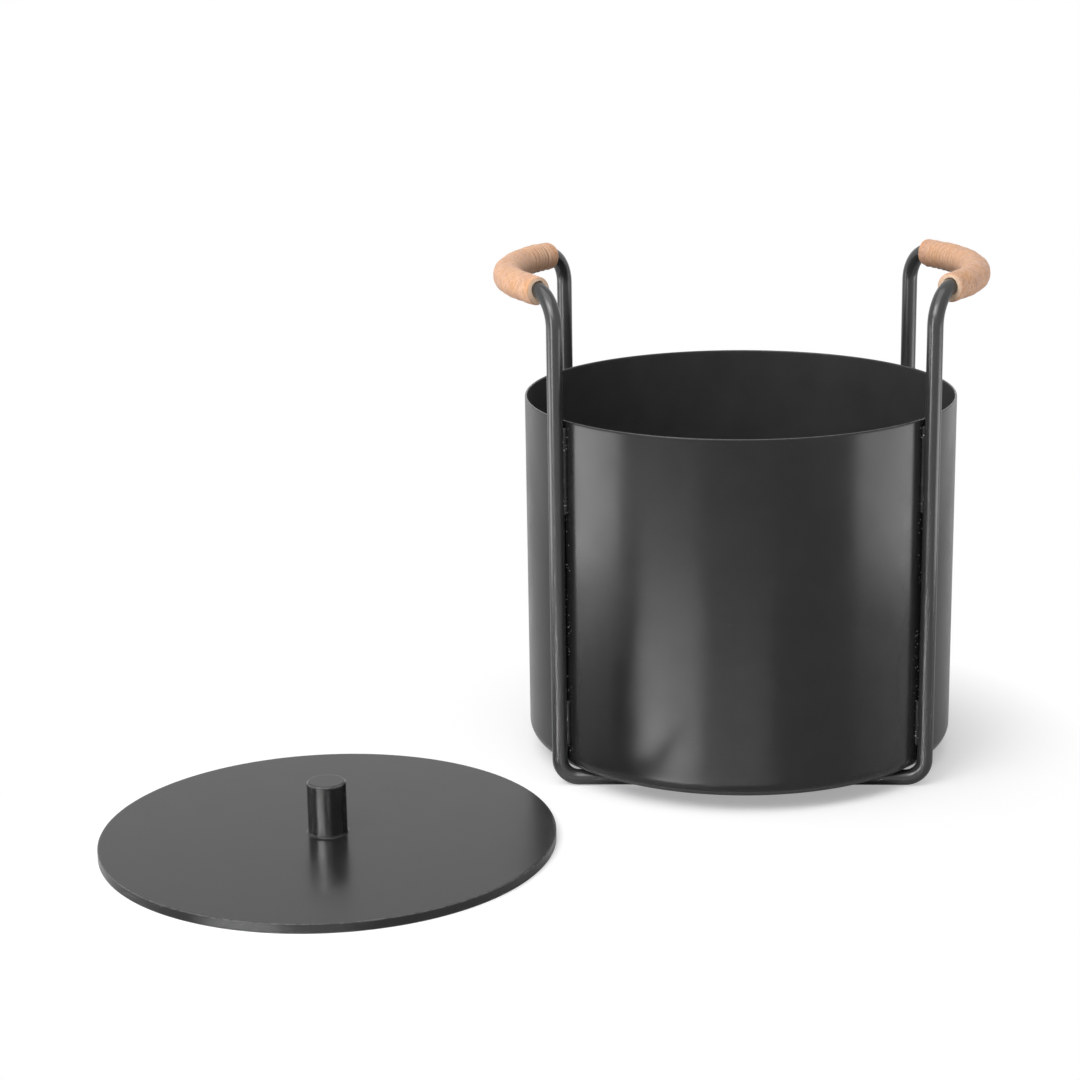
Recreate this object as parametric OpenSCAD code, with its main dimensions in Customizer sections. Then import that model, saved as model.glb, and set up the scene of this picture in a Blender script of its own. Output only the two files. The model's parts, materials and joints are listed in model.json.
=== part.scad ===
// Kindling bucket of welded sheet steel in a round rod frame, with leather sleeves on its
// two handles and a loose flat lid that lies on the floor beside it.
// Millimetres, +Z up. The origin is on the floor, at the middle of the whole footprint.

/* [Bucket] */
// Outside diameter of the bucket
bucket_d = 280; // [260:1:300]
// Height of the rim above the floor
rim_z = 240; // [200:1:260]
// Thickness of the sheet steel
sheet_t = 1.5; // [1:0.5:2]
// Outside radius of the pressed edge of the base
base_edge_r = 9; // [6:1:11]
// Height of the base's upstand above its rounded edge
base_lip_h = 8; // [4:1:20]

/* [Rod frame] */
// Diameter of the frame's rod
rod_d = 10; // [8:1:12]
// Distance between the front and the back uprights
upright_gap = 172; // [160:1:184]
// Bend radius at the foot, on the rod's middle line
foot_bend_r = 12; // [11:1:14]
// Height of the handles, on the rod's middle line
handle_z = 320; // [310:1:340]
// Bend radius at the top of the uprights, on the rod's middle line
handle_bend_r = 22; // [18:1:26]
// Sine of the angle at which each handle leaves its uprights, outwards from the front-back line
handle_out = 0.5376; // [0.5376, 0.6]
// Straight length of rod between each bend and the handle's long curve
handle_straight = 6; // [4:1:10]

/* [Leather sleeves] */
// Outside diameter of the sleeves
sleeve_d = 18; // [17:0.5:20]
// Thickness of the leather
leather_t = 3; // [2.5:0.25:3.25]
// How far each end of a sleeve runs into the handle's bend
sleeve_overrun = 3; // [0:1:5]
// Diameter of the sewing thread
thread_d = 0.9; // [0.6:0.1:1]
// Number of stitches along each sleeve
stitch_count = 25; // [15:1:30]

/* [Lid] */
// Diameter of the lid's plate
lid_d = 279; // [250:0.5:279]
// Thickness of the lid's plate
lid_t = 6; // [5:0.5:8]
// Lid's centre as it lies on the floor, to the right of the bucket's middle line
lid_x = -255; // [-300:1:-250]
// Lid's centre as it lies on the floor, behind the bucket's middle line
lid_y = -185; // [-220:1:-180]
// Diameter of the knob
knob_d = 24; // [20:1:30]
// Height of the knob above the plate
knob_h = 33; // [28:1:40]
// Diameter of the knob's countersunk screw
screw_d = 6; // [5:1:6]

/* [Welds] */
// Length of the weld below the rim on each side of an upright
top_weld_l = 56; // [40:1:80]
// Length of the weld above the base's edge on each side of an upright
low_weld_l = 30; // [20:1:60]
// Length of each weld between the base and a foot bar
foot_weld_l = 24; // [10:1:30]
// Distance of the foot welds from the middle of the bar
foot_weld_x = 60; // [40:1:80]
// Radius of the weld beads' rounded face
bead_r = 2; // [1.8:0.1:2.2]

/* [Hidden] */

steel = "dimgray";
bright = "silver";
leather = "burlywood";
thread = "saddlebrown";

$fn = 96;
bucket_r = bucket_d / 2;
inside_r = bucket_r - sheet_t;
base_z = rod_d;                         // the base rests on the two foot bars
joint_z = base_z + base_edge_r + base_lip_h;

rod_r = rod_d / 2;
upright_y = upright_gap / 2;
upright_x = sqrt(pow(bucket_r + rod_r, 2) - pow(upright_y, 2));    // rod against the wall
upright_turn = atan2(upright_y, upright_x);
handle_splay = asin(handle_out);
bend_reach = handle_bend_r + handle_straight;
handle_arc_r = (upright_y - bend_reach * cos(handle_splay)) / sin(handle_splay);
handle_x = upright_x + bend_reach * sin(handle_splay)
    + handle_arc_r * (1 - cos(handle_splay));                      // middle of the handle
groove = 1.5;                           // depth and half width of a butt weld's groove

sleeve_r = sleeve_d / 2;
sleeve_drop = sleeve_r - leather_t - rod_r;    // the sleeve hangs on top of the rod
sleeve_turn = handle_splay + (handle_straight + sleeve_overrun) / handle_arc_r * 180 / PI;
stitch_turn = 30;                       // how far one stitch reaches round the sleeve
stitch_lean = 20;                       // slant of the stitches
stitch_lift = 0.15;                     // slack of the stitches over the leather
seam_turn = 12;                         // the seam lies this far inwards of the underside

lid_r = lid_d / 2;
lid_edge = 0.4;                         // broken edges of the plate
knob_r = knob_d / 2;
knob_edge = 1;                          // chamfer round the knob's top
knob_foot = 1.5;                        // hollow flare round the knob's foot
screw_r = screw_d / 2;
screw_depth = 14;                       // reach of the screw into the knob
head_r = screw_d;                       // countersunk head, as wide as the thread is twice
head_h = head_r - screw_r;
head_inset = 0.3;                       // head below the plate's underside
key_d = screw_d * 0.62;                 // hexagon socket across its flats
key_depth = 2;

seam_r = 1.4;                           // half width of the inside seams
bead_x = 4.2;                           // middle of a bead, sideways of the line of touch
bead_y = 0.9;                           // middle of a bead, out from that line
edge_gap = 4;                           // top welds end this far below the rim

// The footprint's corners, seen from the bucket's middle line
low_x = lid_x - lid_r;
high_x = handle_x + sleeve_r;
low_y = lid_y - lid_r;
high_y = bucket_r;
bucket_pos = [-(low_x + high_x) / 2, -(low_y + high_y) / 2, 0];
lid_pos = bucket_pos + [lid_x, lid_y, 0];

// ---- bucket ----

module bucket_wall() {
    color(steel) translate(bucket_pos) rotate_extrude() {
        translate([inside_r, joint_z])
            square([sheet_t, rim_z - sheet_t / 2 - joint_z]);
        translate([inside_r + sheet_t / 2, rim_z - sheet_t / 2])
            circle(sheet_t / 2);
    }
}

module bucket_base() {
    color(steel) translate(bucket_pos) rotate_extrude() {
        translate([0, base_z])
            square([bucket_r - base_edge_r, sheet_t]);
        translate([inside_r, base_z + base_edge_r])
            square([sheet_t, base_lip_h]);
        intersection() {
            translate([bucket_r - base_edge_r, base_z])
                square(base_edge_r);
            translate([bucket_r - base_edge_r, base_z + base_edge_r])
                difference() {
                    circle(base_edge_r);
                    circle(base_edge_r - sheet_t);
                }
        }
    }
}

// Bead inside the bucket, round the joint between the wall and the base
module base_seam_weld() {
    color(steel) translate(bucket_pos) rotate_extrude()
        intersection() {
            translate([inside_r, joint_z]) circle(seam_r);
            translate([inside_r - seam_r, joint_z - seam_r]) square([seam_r, 2 * seam_r]);
        }
}

// Bead inside the bucket along the wall's seam, behind the front right upright
module wall_seam_weld() {
    seam_from = joint_z + seam_r;
    color(steel) translate(bucket_pos) intersection() {
        rotate([0, 0, -upright_turn]) translate([inside_r, 0, seam_from])
            cylinder(r = seam_r, h = rim_z - edge_gap - seam_from);
        cylinder(r = inside_r, h = rim_z, $fn = 720);
    }
}

// ---- rod frame ----

// V-groove between two butted rod ends, along X; wider outside than the weld that fills it
module joint_ring(outer_r) {
    opening = outer_r - rod_r + groove;
    rotate([0, 90, 0]) rotate_extrude()
        polygon([[rod_r - groove, 0], [outer_r, opening], [outer_r, -opening]]);
}

// Front right quarter of the frame, one bent rod: half a foot bar, an upright and half a
// handle, with a groove at each end for the butt welds to its neighbours
module frame_quarter() {
    bend_x = upright_x - foot_bend_r;
    bend_z = rod_r + foot_bend_r;
    difference() {
        translate([0, -upright_y, 0]) {
            translate([0, 0, rod_r]) rotate([0, 90, 0]) cylinder(r = rod_r, h = bend_x);
            translate([bend_x, 0, bend_z]) rotate([-90, 0, 0]) rotate_extrude(angle = 90)
                translate([foot_bend_r, 0]) circle(rod_r);
            translate([upright_x, 0, bend_z])
                cylinder(r = rod_r, h = handle_z - handle_bend_r - bend_z);
            translate([upright_x, 0, handle_z - handle_bend_r])
                rotate([0, 0, 270 - handle_splay]) translate([-handle_bend_r, 0, 0]) {
                    rotate([90, 0, 0]) rotate_extrude(angle = 90)
                        translate([handle_bend_r, 0]) circle(rod_r);
                    translate([0, 0, handle_bend_r]) rotate([0, -90, 0])
                        cylinder(r = rod_r, h = handle_straight);
                    translate([-handle_straight, -handle_arc_r, handle_bend_r])
                        rotate([0, 0, 90]) rotate_extrude(angle = handle_splay)
                        translate([handle_arc_r, 0]) circle(rod_r);
                }
        }
        translate([0, -upright_y, rod_r]) joint_ring(rod_r + groove);
        translate([handle_x, 0, handle_z]) rotate([0, 0, 90]) joint_ring(rod_r + groove);
    }
}

module front_right_rod() {
    color(steel) translate(bucket_pos) frame_quarter();
}

module front_left_rod() {
    color(steel) translate(bucket_pos) mirror([1, 0, 0]) frame_quarter();
}

module back_right_rod() {
    color(steel) translate(bucket_pos) mirror([0, 1, 0]) frame_quarter();
}

module back_left_rod() {
    color(steel) translate(bucket_pos) mirror([1, 0, 0]) mirror([0, 1, 0]) frame_quarter();
}

// Butt welds in the middle of the foot bars, ground flush
module foot_joint_welds() {
    color(steel) translate(bucket_pos) for (side = [-1, 1])
        translate([0, side * upright_y, rod_r]) joint_ring(rod_r);
}

// Butt welds in the middle of the handles, ground flush under the leather
module handle_joint_welds() {
    color(steel) translate(bucket_pos) for (side = [-1, 1])
        translate([side * handle_x, 0, handle_z]) rotate([0, 0, 90]) joint_ring(rod_r);
}

// ---- welds ----

// One bead across its length: what fills the valley beside a rod that touches a face
module bead_profile(face_r) {
    difference() {
        translate([bead_x, bead_y]) circle(bead_r);
        translate([0, rod_r]) circle(rod_r);
        translate([0, -face_r]) circle(face_r, $fn = 720);
    }
}

// The four beads of one upright: both sides of the rod, below the rim and above the base
module upright_welds(left, back) {
    top_z = rim_z - edge_gap - top_weld_l;
    color(steel) translate(bucket_pos) mirror([left, 0, 0]) mirror([0, back, 0])
        rotate([0, 0, -upright_turn]) translate([bucket_r, 0, 0]) rotate([0, 0, -90])
        for (side = [0, 1], weld = [[top_z, top_weld_l], [joint_z, low_weld_l]])
            translate([0, 0, weld[0]]) mirror([side, 0, 0])
            linear_extrude(weld[1]) bead_profile(bucket_r);
}

module front_left_welds() upright_welds(1, 0);
module front_right_welds() upright_welds(0, 0);
module back_left_welds() upright_welds(1, 1);
module back_right_welds() upright_welds(0, 1);

// Beads between the base's flat underside and one foot bar
module foot_welds(side) {
    color(steel) translate(bucket_pos)
        for (x = [-foot_weld_x, foot_weld_x], flip = [0, 1])
            translate([x - foot_weld_l / 2, side * upright_y, base_z])
            mirror([0, flip, 0]) rotate([90, 0, 90]) linear_extrude(foot_weld_l)
            difference() {
                translate([bead_x, -bead_y]) circle(bead_r);
                translate([0, -rod_r]) circle(rod_r);
                square(2 * rod_d);
            }
}

module front_foot_welds() foot_welds(-1);
module back_foot_welds() foot_welds(1);

// ---- leather sleeves ----

// The sleeve follows the handle's long curve and runs on past it at both ends, with slack
module sleeve() {
    translate([handle_x - handle_arc_r, 0, handle_z - sleeve_drop])
        rotate([0, 0, -sleeve_turn]) rotate_extrude(angle = 2 * sleeve_turn)
        translate([handle_arc_r, 0]) difference() {
            circle(sleeve_r);
            circle(sleeve_r - leather_t);
        }
}

// Slanting stitches over the sleeve's butt seam, from one end to the other
module sleeve_thread() {
    step = 2 * sleeve_turn / stitch_count;
    translate([handle_x - handle_arc_r, 0, handle_z - sleeve_drop])
        for (i = [0 : stitch_count - 1])
            rotate([0, 0, -sleeve_turn + step * (i + 0.5)])
            translate([handle_arc_r, 0, 0])
            rotate([90, 0, 0]) rotate([0, 0, 270 - seam_turn])
            rotate([stitch_lean, 0, 0]) rotate([0, 0, -stitch_turn / 2])
            rotate_extrude(angle = stitch_turn)
            translate([sleeve_r + stitch_lift + thread_d / 2, 0]) circle(thread_d / 2);
}

module right_handle_sleeve() {
    color(leather) translate(bucket_pos) sleeve();
}

module left_handle_sleeve() {
    color(leather) translate(bucket_pos) mirror([1, 0, 0]) sleeve();
}

module right_sleeve_thread() {
    color(thread) translate(bucket_pos) sleeve_thread();
}

module left_sleeve_thread() {
    color(thread) translate(bucket_pos) mirror([1, 0, 0]) sleeve_thread();
}

// ---- lid ----

// Room for the countersunk screw, from the plate's underside up
module screw_shape(reach) {
    translate([0, 0, head_inset]) {
        cylinder(r1 = head_r, r2 = screw_r, h = head_h);
        cylinder(r = screw_r, h = reach - head_inset);
    }
}

module lid_plate() {
    color(steel) translate(lid_pos) difference() {
        union() {
            cylinder(r1 = lid_r - lid_edge, r2 = lid_r, h = lid_edge);
            translate([0, 0, lid_edge]) cylinder(r = lid_r, h = lid_t - 2 * lid_edge);
            translate([0, 0, lid_t - lid_edge])
                cylinder(r1 = lid_r, r2 = lid_r - lid_edge, h = lid_edge);
        }
        cylinder(r = head_r, h = head_inset);
        screw_shape(lid_t);
    }
}

module lid_knob() {
    color(steel) translate(lid_pos + [0, 0, lid_t]) difference() {
        union() {
            cylinder(r = knob_r, h = knob_h - knob_edge);
            translate([0, 0, knob_h - knob_edge])
                cylinder(r1 = knob_r, r2 = knob_r - knob_edge, h = knob_edge);
            rotate_extrude() difference() {
                translate([knob_r, 0]) square(knob_foot);
                translate([knob_r + knob_foot, knob_foot]) circle(knob_foot);
            }
        }
        cylinder(r = screw_r, h = screw_depth);
    }
}

module knob_screw() {
    color(bright) translate(lid_pos) difference() {
        screw_shape(lid_t + screw_depth);
        translate([0, 0, head_inset])
            cylinder(d = key_d / cos(30), h = key_depth, $fn = 6);
    }
}

bucket_wall();
bucket_base();
wall_seam_weld();
base_seam_weld();
front_left_rod();
front_right_rod();
back_left_rod();
back_right_rod();
foot_joint_welds();
handle_joint_welds();
front_left_welds();
front_right_welds();
back_left_welds();
back_right_welds();
front_foot_welds();
back_foot_welds();
left_handle_sleeve();
right_handle_sleeve();
left_sleeve_thread();
right_sleeve_thread();
lid_plate();
lid_knob();
knob_screw();
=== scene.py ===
import json
import random
from math import atan2, cos, exp, pi, radians, sin, sqrt

import bpy
from mathutils import Matrix, Vector

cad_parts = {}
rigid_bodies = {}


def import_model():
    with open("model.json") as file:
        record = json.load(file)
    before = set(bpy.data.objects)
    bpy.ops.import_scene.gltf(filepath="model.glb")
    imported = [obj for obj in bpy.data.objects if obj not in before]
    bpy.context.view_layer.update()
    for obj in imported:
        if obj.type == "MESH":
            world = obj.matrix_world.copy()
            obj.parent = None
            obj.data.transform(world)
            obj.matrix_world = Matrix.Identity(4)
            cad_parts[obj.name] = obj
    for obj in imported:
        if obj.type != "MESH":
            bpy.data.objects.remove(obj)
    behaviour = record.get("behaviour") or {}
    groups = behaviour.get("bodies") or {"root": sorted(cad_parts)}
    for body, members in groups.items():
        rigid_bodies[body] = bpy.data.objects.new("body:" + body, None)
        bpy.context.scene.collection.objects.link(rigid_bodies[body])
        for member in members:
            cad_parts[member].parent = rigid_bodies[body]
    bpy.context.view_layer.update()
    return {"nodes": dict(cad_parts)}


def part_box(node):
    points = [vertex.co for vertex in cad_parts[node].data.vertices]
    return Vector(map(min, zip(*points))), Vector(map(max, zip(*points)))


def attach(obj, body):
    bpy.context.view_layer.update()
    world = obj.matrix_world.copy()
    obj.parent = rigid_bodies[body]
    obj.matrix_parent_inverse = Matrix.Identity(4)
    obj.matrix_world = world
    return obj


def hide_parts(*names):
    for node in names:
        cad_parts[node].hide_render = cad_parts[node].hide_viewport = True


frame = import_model()
mm = 0.001
joinGap = 0.000002          # metres: points closer together than this become one


def axisOf(node):
    # where the node's upright axis meets the floor
    low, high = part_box(node)
    return Vector(((low.x + high.x) / 2, (low.y + high.y) / 2, 0))


bucketAt = axisOf("bucket_wall")
lidAt = axisOf("lid_plate")
print("frame loaded, bucket axis", tuple(bucketAt), "lid axis", tuple(lidAt))

# camera

cameraView = {
    "offset": (-0.0478, -1.6601, 0.5925),   # from the bucket's axis on the floor
    "lens": 86.465,
    "turn": 2.897,                          # degrees to the left
    "down": 15.231,
    "roll": -0.935,
    "clipEnd": 60,
}


def makeCamera(view):
    bpy.ops.object.camera_add()
    camera = bpy.context.object
    camera.data.lens = view["lens"]
    camera.data.clip_end = view["clipEnd"]
    camera.matrix_world = (
        Matrix.Translation(bucketAt + Vector(view["offset"]))
        @ Matrix.Rotation(radians(view["turn"]), 4, "Z")
        @ Matrix.Rotation(radians(90 - view["down"]), 4, "X")
        @ Matrix.Rotation(radians(view["roll"]), 4, "Z")
    )
    bpy.context.scene.camera = camera


makeCamera(cameraView)
bpy.context.scene.view_settings.view_transform = "Standard"

# material helpers: "material" may also be the world or a lamp, which hold nodes the same way


def newMaterial(name):
    material = bpy.data.materials.new(name)
    material.use_nodes = True
    material.node_tree.nodes.clear()
    return material


def addNode(material, kind, **values):
    # sockets are given by name, everything else is a setting of the node
    node = material.node_tree.nodes.new(kind)
    for name, value in values.items():
        socketName = name.replace("_", " ")
        if socketName in node.inputs:
            node.inputs[socketName].default_value = value
        else:
            setattr(node, name, value)
    return node


def link(material, source, target):
    material.node_tree.links.new(source, target)


def setOrLink(material, value, socket):
    # a number or a colour is set on the socket, another node's output is linked to it
    if isinstance(value, (int, float)):
        socket.default_value = value
    elif isinstance(value, tuple):
        socket.default_value = (*value, 1)
    else:
        link(material, value, socket)


def objectPlace(material):
    return addNode(material, "ShaderNodeTexCoord").outputs["Object"]


def attributeOf(material, name, output="Fac"):
    return addNode(material, "ShaderNodeAttribute", attribute_name=name).outputs[output]


def noiseOf(material, place, scale, detail, roughness=0.5):
    node = addNode(material, "ShaderNodeTexNoise", Scale=scale, Detail=detail, Roughness=roughness)
    link(material, place, node.inputs["Vector"])
    return node.outputs["Fac"]


def cellsOf(material, place, scale):
    # how far it is to the nearest of many scattered points
    node = addNode(material, "ShaderNodeTexVoronoi", Scale=scale)
    link(material, place, node.inputs["Vector"])
    return node.outputs["Distance"]


def rangeOf(material, value, low, high, newLow, newHigh):
    node = addNode(material, "ShaderNodeMapRange")
    for socket, number in zip(("From Min", "From Max", "To Min", "To Max"), (low, high, newLow, newHigh)):
        node.inputs[socket].default_value = number
    link(material, value, node.inputs["Value"])
    return node.outputs["Result"]


def patchesOf(material, place, noise, span, least=0):
    # soft patches of 1 on a ground of least
    return rangeOf(material, noiseOf(material, place, *noise), *span, least, 1)


def mathOf(material, operation, first, second):
    node = addNode(material, "ShaderNodeMath", operation=operation)
    setOrLink(material, first, node.inputs[0])
    setOrLink(material, second, node.inputs[1])
    return node.outputs["Value"]


def vectorOf(material, operation, vector, value=None):
    node = addNode(material, "ShaderNodeVectorMath", operation=operation)
    link(material, vector, node.inputs[0])
    if value is not None:
        node.inputs[1].default_value = value
    return node.outputs["Value" if operation == "DISTANCE" else "Vector"]


def mixColours(material, share, first, second):
    node = addNode(material, "ShaderNodeMix", data_type="RGBA")
    for socket, value in zip((node.inputs[0], node.inputs[6], node.inputs[7]), (share, first, second)):
        setOrLink(material, value, socket)
    return node.outputs[2]


def bumpOf(material, height, strength, distance, under=None):
    node = addNode(material, "ShaderNodeBump", Strength=strength, Distance=distance)
    link(material, height, node.inputs["Height"])
    if under is not None:
        link(material, under, node.inputs["Normal"])
    return node.outputs["Normal"]


def finishMaterial(material, shader):
    output = addNode(material, "ShaderNodeOutputMaterial")
    link(material, shader, output.inputs["Surface"])
    return material


def finishSurface(material, colour, roughness, bump=None, **values):
    shader = addNode(material, "ShaderNodeBsdfPrincipled", **values)
    link(material, colour, shader.inputs["Base Color"])
    setOrLink(material, roughness, shader.inputs["Roughness"])
    if bump is not None:
        link(material, bump, shader.inputs["Normal"])
    return finishMaterial(material, shader.outputs["BSDF"])


# finishes
# noises are scale, detail and roughness, bumps are strength and depth in metres

coatLook = {
    "colour": (0.0115, 0.0115, 0.0118),
    "lighter": (0.0175, 0.0175, 0.0178),
    "roughness": (0.20, 0.262),
    "ior": 1.36,
    "mottle": (45, 4, 0.55),                # patches of about 20 mm
    "mottleSpan": (0.3, 0.7),
    "peel": (650, 2),                       # orange peel of about 1.5 mm
    "peelBump": (0.05, 0.0004),
    "speckColour": (0.08, 0.08, 0.08),
    "speckScale": 260,
    "speckSize": (0.03, 0.09),              # in parts of the distance between specks
    "speckPatches": (30, 1),
    "speckRare": (0.66, 0.74),              # higher is rarer
    "edgeHighlightColour": (0.16, 0.16, 0.162),      # painted highlight along rounded edges
    "edgeHighlightPatches": (300, 5, 0.7),
    "edgeHighlightSpan": (0.38, 0.62),
    "edgeHighlightLeast": 0.35,
    "paintedGlintReach": None,                   # metres from an upright for the painted glints: full up to, none from
    "paintedGlintColour": (0.55, 0.55, 0.55),
    "paintedGlintScale": 430,
    "paintedGlintSize": (0.10, 0.22),
    "paintedGlintPatches": (120, 2),
    "paintedGlintRare": (0.48, 0.60),
    "uprightAt": (0.1167, 0.086, 0),        # an upright's middle, from the bucket's axis
}
# a lighter copy of the coat for the bucket's inside: painted light where little light reaches
insideLitLook = dict(
    coatLook, colour=(0.034, 0.034, 0.0345), lighter=(0.050, 0.050, 0.0505), roughness=(0.34, 0.42),
)
# the wall and the welds carry painted glints near the uprights
wallLook = dict(coatLook, paintedGlintReach=(0.0068, 0.0090))
weldLook = dict(coatLook, paintedGlintReach=(0.020, 0.025))
# the bent bars are a little greyer and glossier than the sheet
rodLook = dict(coatLook, colour=(0.018, 0.018, 0.0182), lighter=(0.026, 0.026, 0.0263), ior=1.5)


def paintedGlintsOf(material, place, look):
    # painted glints: fine bright spots beside the four uprights, and nothing elsewhere
    fromAxis = vectorOf(material, "SUBTRACT", place, bucketAt)
    folded = vectorOf(material, "ABSOLUTE", fromAxis)
    flat = vectorOf(material, "MULTIPLY", folded, (1, 1, 0))
    away = vectorOf(material, "DISTANCE", flat, look["uprightAt"])
    beside = rangeOf(material, away, *look["paintedGlintReach"], 1, 0)
    patches = patchesOf(material, place, look["paintedGlintPatches"], look["paintedGlintRare"])
    spots = rangeOf(material, cellsOf(material, place, look["paintedGlintScale"]), *look["paintedGlintSize"], 1, 0)
    return mathOf(material, "MULTIPLY", spots, mathOf(material, "MULTIPLY", beside, patches))


def makeCoat(name, look):
    # satin stove paint: even, very slightly mottled, with a fine orange peel and stray specks, a painted
    # highlight along rounded edges and, where asked, painted glints beside the uprights
    material = newMaterial(name)
    place = objectPlace(material)
    mottle = noiseOf(material, place, *look["mottle"])
    colour = mixColours(material, mottle, look["colour"], look["lighter"])
    specks = rangeOf(material, cellsOf(material, place, look["speckScale"]), *look["speckSize"], 1, 0)
    patches = patchesOf(material, place, look["speckPatches"], look["speckRare"])
    specks = mathOf(material, "MULTIPLY", specks, patches)
    colour = mixColours(material, specks, colour, look["speckColour"])
    # painted glints beside the uprights
    if look["paintedGlintReach"]:
        colour = mixColours(material, paintedGlintsOf(material, place, look), colour, look["paintedGlintColour"])
    # a painted highlight along rounded edges, broken into patches
    patches = patchesOf(material, place, look["edgeHighlightPatches"], look["edgeHighlightSpan"], look["edgeHighlightLeast"])
    edgeHighlightShare = mathOf(material, "MULTIPLY", attributeOf(material, "edgeHighlight"), patches)
    colour = mixColours(material, edgeHighlightShare, colour, look["edgeHighlightColour"])
    roughness = rangeOf(material, mottle, *look["mottleSpan"], *look["roughness"])
    peel = bumpOf(material, noiseOf(material, place, *look["peel"]), *look["peelBump"])
    return finishSurface(material, colour, roughness, peel, IOR=look["ior"])


leatherLook = {
    "orange": (0.70, 0.358, 0.175),
    "pink": (0.665, 0.390, 0.272),
    "paler": (0.84, 0.60, 0.43),
    "darker": (0.40, 0.20, 0.105),
    "creaseShadeColour": (0.40, 0.20, 0.11),
    "roughness": (0.46, 0.62),
    "ior": 1.38,
    "sheen": (0.04, 0.4),                   # weight, roughness
    "depth": (0.05, (0.003, 0.0015, 0.0008)),   # how much light goes into the skin, and how far
    "clouds": (95, 4, 0.6),
    "cloudSpan": (0.36, 0.64),
    "grain": (520, 5, 0.7),
    "hairlines": (640, 5, 0.65),            # fine creases that run round the sleeve
    "hairStretch": (1, 0.42, 0.42),
    "poreScale": 1300,
    "poreSize": 0.45,
    # which pattern, where in it the tint is none and full, its full share, the tint
    "tints": [
        ("hairlines", 0.49, 0.34, 0.50, "paler"),
        ("hairlines", 0.54, 0.70, 0.55, "darker"),
        ("grain", 0.49, 0.34, 0.45, "paler"),
        ("grain", 0.54, 0.70, 0.55, "darker"),
        # painted highlights on the creases' ridges, then painted shade in the creases and the hole and a
        # darker line along the seam
        ("crease", 0, -1, 0.95, "paler"),
        ("crease", 0, 1, 0.90, "creaseShadeColour"),
        # painted shade on the underside
        ("undersideShade", 0, 1, 0.70, "darker"),
    ],
    "bumps": [("pores", 0.20, 0.00015), ("grain", 0.45, 0.0006), ("hairlines", 0.40, 0.0006)],
}


def makeLeather(name, look):
    # vegetable-tanned leather: mottled orange and pink, pores, fine creases across the sleeve, painted
    # shade in the creases and the hole, a darker line along the seam, painted shade on the underside and
    # painted highlights on the creases' ridges
    material = newMaterial(name)
    place = objectPlace(material)
    alongSleeve = attributeOf(material, "sleevePlace", "Vector")
    stretched = vectorOf(material, "MULTIPLY", alongSleeve, look["hairStretch"])
    patterns = {
        "hairlines": noiseOf(material, stretched, *look["hairlines"]),
        "grain": noiseOf(material, place, *look["grain"]),
        "pores": rangeOf(material, cellsOf(material, place, look["poreScale"]), 0, look["poreSize"], 0, 1),
        "crease": attributeOf(material, "crease"),
        "undersideShade": attributeOf(material, "undersideShade"),
    }
    clouds = patchesOf(material, place, look["clouds"], look["cloudSpan"])
    colour = mixColours(material, clouds, look["orange"], look["pink"])
    for pattern, none, full, share, tint in look["tints"]:
        share = rangeOf(material, patterns[pattern], none, full, 0, share)
        colour = mixColours(material, share, colour, look[tint])
    bump = None
    for pattern, strength, distance in look["bumps"]:
        bump = bumpOf(material, patterns[pattern], strength, distance, bump)
    roughness = rangeOf(material, clouds, 0, 1, *look["roughness"])
    return finishSurface(
        material, colour, roughness, bump, IOR=look["ior"],
        Sheen_Weight=look["sheen"][0], Sheen_Roughness=look["sheen"][1],
        Subsurface_Weight=look["depth"][0], Subsurface_Radius=look["depth"][1],
    )


# raw fibres of a cut edge and of the flesh side
cutLook = {
    "colours": ((0.62, 0.38, 0.24), (0.94, 0.72, 0.54)),
    "fibres": (900, 5, 0.7),
    "bump": (0.6, 0.0005),
    "roughness": 0.9,
    "sheen": 0.15,
}
# dark waxed thread
threadLook = {
    "colours": ((0.055, 0.026, 0.012), (0.12, 0.062, 0.030)),
    "fibres": (2600, 3),
    "bump": (0.3, 0.0002),
    "roughness": 0.45,
    "sheen": 0.0,
}


def makeFibres(name, look):
    material = newMaterial(name)
    fibres = noiseOf(material, objectPlace(material), *look["fibres"])
    colour = mixColours(material, fibres, *look["colours"])
    bump = bumpOf(material, fibres, *look["bump"])
    return finishSurface(material, colour, look["roughness"], bump, Sheen_Weight=look["sheen"])


# bright zinc plate, faintly mottled
zincLook = {
    "colours": ((0.50, 0.50, 0.48), (0.66, 0.66, 0.64)),
    "mottle": (500, 3),
    "mottleSpan": (0.3, 0.7),
    "roughness": (0.28, 0.42),
}


def makeZinc(name, look):
    material = newMaterial(name)
    mottle = noiseOf(material, objectPlace(material), *look["mottle"])
    colour = mixColours(material, mottle, *look["colours"])
    roughness = rangeOf(material, mottle, *look["mottleSpan"], *look["roughness"])
    return finishSurface(material, colour, roughness, Metallic=1.0)


coat = makeCoat("satinCoat", coatLook)
insideLitCoat = makeCoat("insideLitCoat", insideLitLook)
wallCoat = makeCoat("wallCoat", wallLook)
weldCoat = makeCoat("weldCoat", weldLook)
rodCoat = makeCoat("rodCoat", rodLook)
leather = makeLeather("tannedLeather", leatherLook)
cutLeather = makeFibres("cutLeather", cutLook)
waxedThread = makeFibres("waxedThread", threadLook)
zinc = makeZinc("zincPlate", zincLook)
print("finishes made")

# modelling helpers


def deselectAll():
    if bpy.context.object and bpy.context.object.mode != "OBJECT":
        bpy.ops.object.mode_set(mode="OBJECT")
    bpy.ops.object.select_all(action="DESELECT")


def arc(centre, radius, start, end, steps):
    # points round a bend of an outline, angles in degrees
    angles = [radians(start + (end - start) * i / steps) for i in range(steps + 1)]
    return [(centre[0] + radius * cos(a), centre[1] + radius * sin(a)) for a in angles]


def editAll():
    bpy.ops.object.mode_set(mode="EDIT")
    bpy.ops.mesh.select_all(action="SELECT")


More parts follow.
